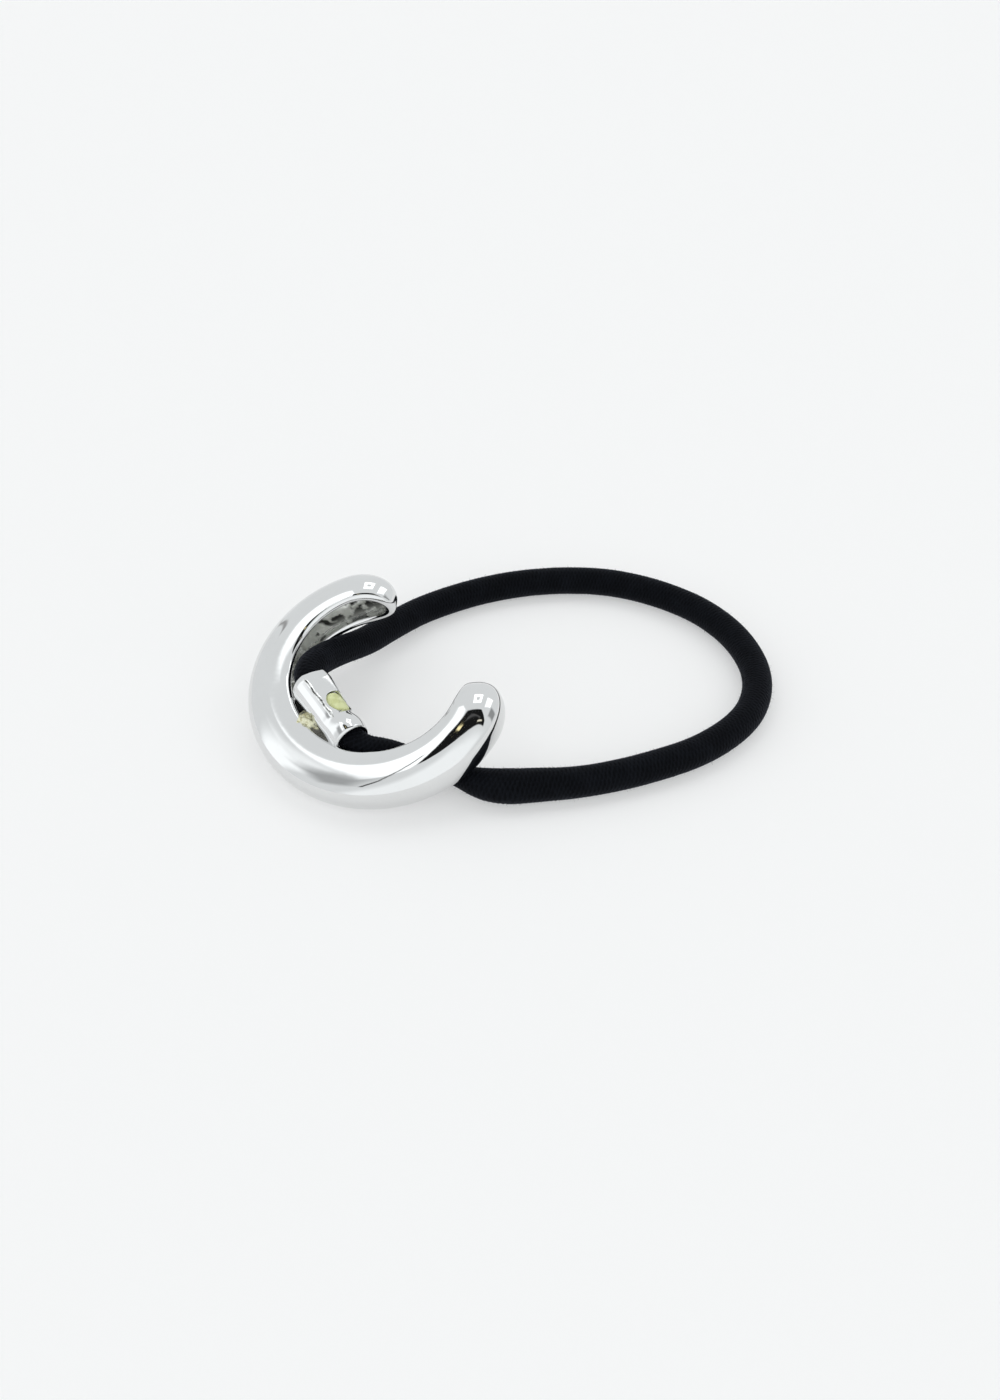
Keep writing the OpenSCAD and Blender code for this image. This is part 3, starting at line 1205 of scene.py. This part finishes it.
@dataclass(frozen=True)
class ElasticCord:
    """The covered elastic cord, from the bail's middle round the loop and back. Millimetres."""

    bail: Bail = Bail()
    diameter: float = 4.0
    squeezed: float = 3.4
    length: float = 163.85
    seam_gap: float = 0.2
    mouth_inset: float = 0.3
    ring_step: float = 0.1
    path_steps: int = 20
    curve_steps: int = 40
    kink_spread: float = 0.9
    sides: int = 46
    flattened: float = 0.14
    flat_at: tuple = (15.5, -13.0)
    flat_reach: tuple = (5.5, 3.0)
    rib_pitch: float = 0.52
    rib_depth: float = 0.08
    route: tuple = (
        Stop(-8.75, 1.0, 8.3, 1.75), Stop(-8.2, 3.7, 7.85, 1.95), Stop(-6.9, 7.1, 6.6), Stop(-5.3, 9.7, 5.6, 1.95),
        Stop(-3.9, 11.8, 4.7, 1.95), Stop(-2.0, 14.6, 3.7), Stop(0.8, 18.7, 2.9), Stop(4.6, 23.2, 2.2),
        Stop(9.2, 26.4), Stop(13.8, 28.6), Stop(19.4, 30.3), Stop(25.8, 31.0), Stop(32.5, 30.3), Stop(39.1, 27.5),
        Stop(45.0, 22.8), Stop(49.1, 16.0), Stop(50.4, 8.0), Stop(48.0, 0.4), Stop(41.9, -5.7), Stop(34.0, -9.6),
        Stop(26.4, -11.9), Stop(20.2, -12.7, 2.1, 2.1), Stop(16.2, -12.9, 2.1, 2.1), Stop(13.4, -12.1, 1.9, 1.85),
        Stop(10.9, -10.4, 1.5, 1.45), Stop(8.6, -9.0, 1.55, 1.5), Stop(6.2, -8.6, 1.9, 1.7),
        Stop(3.8, -9.3, 3.3, 1.95), Stop(1.9, -9.6, 4.4), Stop(0.4, -9.65, 4.95, 1.85),
        Stop(-1.15, -9.45, 5.6, 1.6),
    )

    def stops(self, pose: Pose) -> Array:
        """Every stop of the line.

        Args:
            pose: how the cuff lies.

        Returns:
            Rows x, y, z, radius from one end in the bail round to the other.
        """
        tube, half = self.bail.frame(pose), self.bail.length / 2
        reaches = (self.seam_gap / 2, half / 2, half - self.mouth_inset)
        inside = {
            side: [(*(tube @ Vector((0, 0, side * reach))), self.squeezed / 2) for reach in reaches]
            for side in (1, -1)
        }
        outside = [(stop.x, stop.y, stop.z, stop.radius) for stop in self.route]
        return np.array(inside[1] + outside + inside[-1][::-1])

    def centre_line(self, pose: Pose) -> Array:
        """The smooth line through the stops.

        Args:
            pose: how the cuff lies.

        Returns:
            Rows x, y, z, radius, one every ring_step.
        """
        rows = self.stops(pose)
        padded = np.concatenate([rows[:1], rows, rows[-1:]])
        t = np.linspace(0, 1, self.curve_steps, endpoint=False)[:, None]
        parts = []
        for a, b, c, d in zip(padded, padded[1:], padded[2:], padded[3:]):
            parts.append(b + (c - a) * t / 2 + (2 * a - 5 * b + 4 * c - d) * t ** 2 / 2
                         + (3 * b - a - 3 * c + d) * t ** 3 / 2)
        return self.spaced(self.relaxed(self.spaced(np.concatenate([*parts, rows[-1:]]))))

    def spaced(self, line: Array) -> Array:
        """Spaces a line's rows evenly.

        Args:
            line: rows x, y, z, radius.

        Returns:
            The line with a row every ring_step.
        """
        run = np.concatenate([[0], np.cumsum(np.linalg.norm(np.diff(line[:, :3], axis=0), axis=1))])
        at = np.linspace(0, run[-1], int(run[-1] / self.ring_step) + 1)
        return np.stack([np.interp(at, run, line[:, k]) for k in range(4)], -1)

    def relaxed(self, line: Array) -> Array:
        """Eases a line's small kinks out over kink_spread.

        Args:
            line: rows x, y, z, radius, one every ring_step.

        Returns:
            The eased line.
        """
        reach = int(3 * self.kink_spread / self.ring_step)
        weight = np.exp(-0.5 * (np.arange(-reach, reach + 1) * self.ring_step / self.kink_spread) ** 2)
        weight /= weight.sum()
        before = 2 * line[:1] - line[reach:0:-1]
        after = 2 * line[-1:] - line[-2:-reach - 2:-1]
        padded = np.concatenate([before, line, after])
        return np.stack([np.convolve(padded[:, k], weight, "valid") for k in range(4)], -1)

    def tube(self, line: Array) -> tuple[Surface, dict[str, Array]]:
        """The plain tube about the line, pressed flat under the near arm.

        Args:
            line: rows x, y, z, radius.

        Returns:
            The tube, and each point's place along and around it.
        """
        middle, radius = line[:, :3], line[:, 3]
        ahead = np.gradient(middle, axis=0)
        ahead /= np.linalg.norm(ahead, axis=1, keepdims=True)
        side = np.cross(ahead, UP)
        side /= np.linalg.norm(side, axis=1, keepdims=True)
        angle = full_turn(self.sides)
        pressed = np.prod([bell(middle[:, k], self.flat_at[k], self.flat_reach[k]) for k in (0, 1)], axis=0)
        wide = (radius * (1 + self.flattened * pressed))[:, None, None]
        points = (
            middle[:, None]
            + side[:, None] * np.cos(angle)[None, :, None] * wide
            + np.cross(side, ahead)[:, None] * np.sin(angle)[None, :, None] * radius[:, None, None]
        )
        surface = Surface()
        surface.add_capped(points)
        along = np.repeat(np.arange(len(line)) * self.ring_step, self.sides)
        numbers = {"along": along, "around": np.tile(angle, len(line))}
        return surface, {name: np.append(values, (0, 0)) for name, values in numbers.items()}

    def build(self, pose: Pose, finish: Finish) -> tuple[Piece, Array]:
        """Builds the cord and its line.

        Args:
            pose: how the cuff lies.
            finish: the cloth.

        Returns:
            The piece and the line's rows in metres.
        """
        line = self.centre_line(pose)
        surface, numbers = self.tube(line)
        plain = make_piece("woven_cord", surface, Matrix(), finish, numbers)
        return RibWeave(self.rib_pitch * MM, self.rib_depth * MM).applied(plain, finish), line * MM


class Geometry(Shader):
    """A Geometry Nodes tree under construction, with named inputs."""

    def __init__(self, name: str, **sizes: float) -> None:
        """Starts a tree with a geometry input and output.

        Args:
            name: the tree's name.
            sizes: the values of its named inputs.
        """
        group = bpy.data.node_groups.new(name, "GeometryNodeTree")
        super().__init__(group)
        for way in ("INPUT", "OUTPUT"):
            group.interface.new_socket("Geometry", in_out=way, socket_type="NodeSocketGeometry")
        self.settings: dict[str, float] = {}
        for key, size in sizes.items():
            kind = "NodeSocketInt" if isinstance(size, int) else "NodeSocketFloat"
            socket = group.interface.new_socket(key, in_out="INPUT", socket_type=kind)
            self.settings[socket.identifier] = size
        self.start = self.node("NodeGroupInput")

    def given(self, name: str) -> Value:
        """One of the tree's inputs."""
        return Value(self, self.start.outputs[name])

    def named(self, name: str) -> Value:
        """One of the mesh's own numbers."""
        return self.value("GeometryNodeInputNamedAttribute", "Attribute", {"data_type": "FLOAT"}, {"Name": name})

    def applied_to(self, piece: Piece, shape: Value, finish: Finish) -> Piece:
        """Ends the tree, runs it on a piece and keeps the result as a plain mesh.

        Args:
            piece: the piece that it runs on.
            shape: the tree's last geometry.
            finish: the material of the result.

        Returns:
            The same piece with its new mesh.
        """
        real = self.value("GeometryNodeRealizeInstances", "Geometry", None, {"Geometry": shape})
        dressed = self.value("GeometryNodeSetMaterial", "Geometry", None, {"Geometry": real, "Material": finish})
        self.node("NodeGroupOutput", None, {"Geometry": dressed})
        modifier = piece.modifiers.new("shape", "NODES")
        modifier.node_group = self.tree
        for identifier, size in self.settings.items():
            modifier[identifier] = size
        evaluated = piece.evaluated_get(bpy.context.evaluated_depsgraph_get())
        mesh = bpy.data.meshes.new_from_object(evaluated)
        mesh.name = piece.name
        piece.modifiers.clear()
        piece.data = mesh
        return piece


@dataclass(frozen=True)
class RibWeave:
    """The fine ribs of the cord's cover, which run across it. Metres."""

    pitch: float
    depth: float
    strands: int = 9
    wander_size: float = 2.2 * MM
    wander_turns: float = 1.6
    rib_share: float = 0.7
    wander_share: float = 0.6
    crest: float = 1.2
    seed: int = 7

    def applied(self, piece: Piece, finish: Finish) -> Piece:
        """Raises the ribs on a plain tube, all of them within its skin.

        Args:
            piece: the tube, with its places along and around.
            finish: the cloth.

        Returns:
            The same piece with its ribs.
        """
        tree = Geometry("rib_weave", Pitch=self.pitch, Depth=self.depth, Seed=self.seed)
        wander = tree.value(
            "ShaderNodeTexNoise", 0, {"noise_dimensions": "4D"},
            {"Vector": tree.value("GeometryNodeInputPosition", 0), "W": tree.given("Seed"),
             "Scale": 1 / self.wander_size, "Detail": 2.0},
        )
        along = tree.named("along") * MM / tree.given("Pitch")
        slant = tree.named("around") * (self.strands / (2 * math.pi)) + wander * self.wander_turns
        right = tree.maths("SINE", (along + slant) * (2 * math.pi))
        left = tree.maths("SINE", (along - slant + 0.25) * (2 * math.pi))
        relief = right.at_least(left) * self.rib_share + wander * self.wander_share
        offset = tree.value(
            "ShaderNodeVectorMath", 0, {"operation": "SCALE"},
            {0: tree.value("GeometryNodeInputNormal", 0), "Scale": (relief - self.crest) * tree.given("Depth")},
        )
        noted = tree.value(
            "GeometryNodeStoreNamedAttribute", "Geometry", {"data_type": "FLOAT", "domain": "POINT"},
            {"Geometry": tree.given("Geometry"), "Name": "relief", "Value": relief},
        )
        shape = tree.value("GeometryNodeSetPosition", "Geometry", None, {"Geometry": noted, "Offset": offset})
        return tree.applied_to(piece, shape, finish)


@dataclass(frozen=True)
class CordFuzz:
    """Short fibres that stand off the cord's cover. Metres and radians."""

    density: float = 2.2e6
    length: float = 0.35 * MM
    thickness: float = 0.012 * MM
    tip_share: float = 0.2
    clear_of_table: float = 0.6 * MM
    lean: tuple = (1.1, 1.1, 3.14)
    shortest: float = 0.4
    longest: float = 1.3
    seed: int = 11

    def build(self, cord: Piece, finish: Finish) -> Piece:
        """Builds the fibres on a copy of the cord's skin.

        Args:
            cord: the cord.
            finish: the cloth.

        Returns:
            The piece.
        """
        piece = placed("cord_fuzz", cord.data.copy())
        tree = Geometry("cord_fuzz", Density=self.density, Length=self.length, Thickness=self.thickness,
                        Seed=self.seed)
        seed = tree.given("Seed")
        height = tree.value("ShaderNodeSeparateXYZ", "Z", None, {0: tree.value("GeometryNodeInputPosition", 0)})
        spots = tree.node(
            "GeometryNodeDistributePointsOnFaces", {"distribute_method": "RANDOM"},
            {"Mesh": tree.given("Geometry"), "Density": tree.given("Density"), "Seed": seed,
             "Selection": tree.maths("GREATER_THAN", height, self.clear_of_table)},
        )
        fibre = tree.value(
            "GeometryNodeMeshCone", "Mesh", {"fill_type": "NONE"},
            {"Vertices": 3, "Side Segments": 1, "Radius Top": self.tip_share * self.thickness,
             "Radius Bottom": tree.given("Thickness"), "Depth": tree.given("Length")},
        )
        lean = tree.value(
            "FunctionNodeRandomValue", 0, {"data_type": "FLOAT_VECTOR"},
            {0: tuple(-v for v in self.lean), 1: self.lean, "Seed": seed},
        )
        turned = tree.value(
            "FunctionNodeRotateRotation", 0, {"rotation_space": "LOCAL"},
            {0: Value(tree, spots.outputs["Rotation"]),
             1: tree.value("FunctionNodeEulerToRotation", 0, None, {0: lean})},
        )
        stretch = tree.value(
            "FunctionNodeRandomValue", 1, {"data_type": "FLOAT"},
            {2: self.shortest, 3: self.longest, "Seed": seed},
        )
        shape = tree.value(
            "GeometryNodeInstanceOnPoints", 0, None,
            {"Points": Value(tree, spots.outputs["Points"]), "Instance": fibre, "Rotation": turned,
             "Scale": stretch},
        )
        return tree.applied_to(piece, shape, finish)


@dataclass(frozen=True)
class Shape:
    """A bright or dark shape of the studio overhead, by degrees from the zenith: rightward, away."""

    corners: tuple
    colour: tuple
    blur: float = 1.5

    def mask(self, shader: Shader, spot: Value) -> Value:
        """Share of the shape in a direction.

        Args:
            shader: the light's shader.
            spot: the direction's degrees from the zenith rightward and away, and 1.

        Returns:
            1 inside the shape and 0 outside it.
        """
        depth = None
        for (ax, ay), (bx, by) in zip(self.corners, self.corners[1:] + self.corners[:1]):
            length = math.hypot(bx - ax, by - ay)
            nx, ny = (by - ay) / length, (ax - bx) / length
            inward = shader.value("ShaderNodeVectorMath", 1, {"operation": "DOT_PRODUCT"},
                                  {0: spot, 1: (-nx, -ny, ax * nx + ay * ny)})
            depth = inward if depth is None else depth.at_most(inward)
        return depth.between(-self.blur / 2, self.blur / 2)


def streak(start: tuple, end: tuple, width: float, level: float, blur: float = 0.8) -> Shape:
    """A thin straight shape of one grey level.

    Args:
        start: where it starts.
        end: where it ends.
        width: its width.
        level: its brightness.
        blur: width of its soft edge.

    Returns:
        The shape.
    """
    ends = np.array([start, end], float)
    ahead = (ends[1] - ends[0]) / math.dist(start, end)
    across = np.array([ahead[1], -ahead[0]]) * width / 2
    corners = np.array([ends[0] - across, ends[0] + across, ends[1] + across, ends[1] - across])
    return Shape(tuple(map(tuple, corners.tolist())), (level, level, level, 1.0), blur)


def grey(level: float) -> tuple:
    """A cool grey of the given brightness."""
    return (0.975 * level, level, 1.01 * level, 1.0)


@dataclass(frozen=True)
class Studio:
    """Camera, table and soft light. Metres and degrees."""

    target: tuple = (0.0159, 0.0060, 0.0)
    distance: float = 0.1806
    elevation: float = 40.0
    focal_px: float = 1347.0
    frame_px: float = 1400.0
    sensor: float = 36.0
    nearest: float = 0.005
    furthest: float = 50.0
    table_size: float = 8.0
    light: float = 1.0
    tent: tuple = grey(0.86)
    shapes: tuple = (
        Shape(((-48, 2), (-36, 0), (-36, 12), (-46, 14)), grey(1.15), 8.0),
        Shape(((-70, -100), (70, -100), (66, -30), (5, -26), (-60, -60)), grey(1.14), 20.0),
        Shape(((-118, -13), (-48, -13), (-46, 11), (-118, 16)), grey(1.32), 12.0),
        Shape(((-36, -12), (-22, -14), (-14, 2), (-22, 17), (-34, 18)), grey(1.5), 3.0),
        Shape(((-58, -26), (-42, -30), (-33, -16), (-38, 0), (-54, -4)), grey(0.45), 14.0),
        Shape(((-2, 17), (17, 16), (18, 37), (-2, 38)), grey(2.4), 1.5),
        Shape(((3, 22), (12, 22), (12, 31), (3, 31)), grey(0.8), 4.0),
        Shape(((32, 8), (52, 12), (54, 34), (33, 32)), grey(1.7), 3.0),
        Shape(((55, -6), (84, -4), (82, 16), (56, 14)), grey(0.35), 7.0),
        Shape(((-20, -13), (55, -22), (24, 2), (-20, 5)), grey(0.012), 1.2),
        Shape(((24, -15.4), (38, -17.4), (38, -16.2), (23, -14)), (0.9, 0.85, 0.7, 1.0), 0.5),
        streak((-6, -2), (28, -13), 1.6, 0.1, 1.2),
        Shape(((-13.4, 0.8), (-13.0, -0.8), (-7, -5.9), (-6.4, -4.4)), (1.5, 1.3, 0.7, 1.0), 0.5),
        streak((-23, 1), (-26, -11), 1.2, 0.22),
        streak((-25.8, -10), (-31, -24), 1.6, 0.2),
        streak((-30.6, -23), (-39.5, -36), 2.4, 0.12, 1.2),
        streak((-50, 100), (-52.5, 62), 1.6, 0.6, 1.6),
        streak((-52.5, 63), (-41.5, 33), 1.6, 0.4, 1.2),
    )

    def build_camera(self) -> None:
        """Sets the camera at the photograph's angle."""
        data = bpy.data.cameras.new("camera")
        data.sensor_width = self.sensor
        data.lens = self.sensor * self.focal_px / self.frame_px
        data.clip_start, data.clip_end = self.nearest, self.furthest
        camera = placed("camera", data)
        rise = math.radians(self.elevation)
        back = Vector((0, -math.cos(rise), math.sin(rise))) * self.distance
        camera.location = Vector(self.target) + back
        camera.rotation_euler = (math.radians(90 - self.elevation), 0, 0)
        bpy.context.scene.camera = camera

    def build_table(self) -> None:
        """Lays the plain pale table."""
        half = self.table_size / 2
        mesh = bpy.data.meshes.new("table")
        mesh.from_pydata([(-half, -half, 0), (half, -half, 0), (half, half, 0), (-half, half, 0)], [], [(0, 1, 2, 3)])
        mesh.materials.append(TableTop().material())
        table = placed("table", mesh)

    def build_light(self) -> None:
        """Surrounds the scene with a pale tent, its soft boxes and the dark things over it."""
        scene = bpy.context.scene
        scene.view_settings.view_transform = "Standard"
        world = bpy.data.worlds.new("studio")
        scene.world = world
        world.use_nodes = True
        world.cycles.sampling_method = "NONE"
        shader = Shader(world.node_tree)
        towards = shader.value("ShaderNodeTexCoord", "Generated")
        part = shader.node("ShaderNodeSeparateXYZ", None, {0: towards})
        x, y, z = (Value(shader, socket) for socket in part.outputs)
        tilt = shader.maths("DEGREES", shader.maths("ARCCOSINE", z))
        scale = tilt / ((x * x + y * y) ** 0.5).at_least(1e-4)
        spot = shader.value("ShaderNodeCombineXYZ", 0, None, {0: x * scale, 1: y * scale, 2: 1.0})
        colour = self.tent
        for shape in self.shapes:
            colour = shader.mix(shape.mask(shader, spot), colour, shape.colour)
        glow = shader.value("ShaderNodeBackground", 0, None, {"Color": colour, "Strength": self.light})
        shader.finish(glow, "ShaderNodeOutputWorld")


def main() -> None:
    """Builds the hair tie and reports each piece."""
    logging.basicConfig(level=logging.INFO, format="%(name)s %(message)s")
    studio = Studio()
    studio.build_camera()
    pose = Pose()
    cord = ElasticCord()
    cloth = CordCloth().material()
    cord_piece, line = cord.build(pose, cloth)
    hand_over(cord_piece, Slot.CLOTH, "elastic_cord")
    fuzz = CordFuzz().build(cord_piece, cloth)
    hand_over(fuzz, Slot.CLOTH)
    mouth = cord.bail.frame(pose) @ Vector((0, 0, cord.bail.length / 2))
    plated = PlatedMetal().material()
    hand_over(CuffShell().build(pose, plated), Slot.METAL, "cuff")
    hand_over(CastBeads().build(pose, plated), Slot.METAL)
    hand_over(Bail().build(pose, plated), Slot.METAL)
    hand_over(SolderJoint().build(pose, Solder().material()), Slot.METAL)
    hand_over(SeamGlue().build(pose, CuredGlue().material()), Slot.GLUE, "seam_glue")
    studio.build_table()
    studio.build_light()


if __name__ == "__main__":
    main()
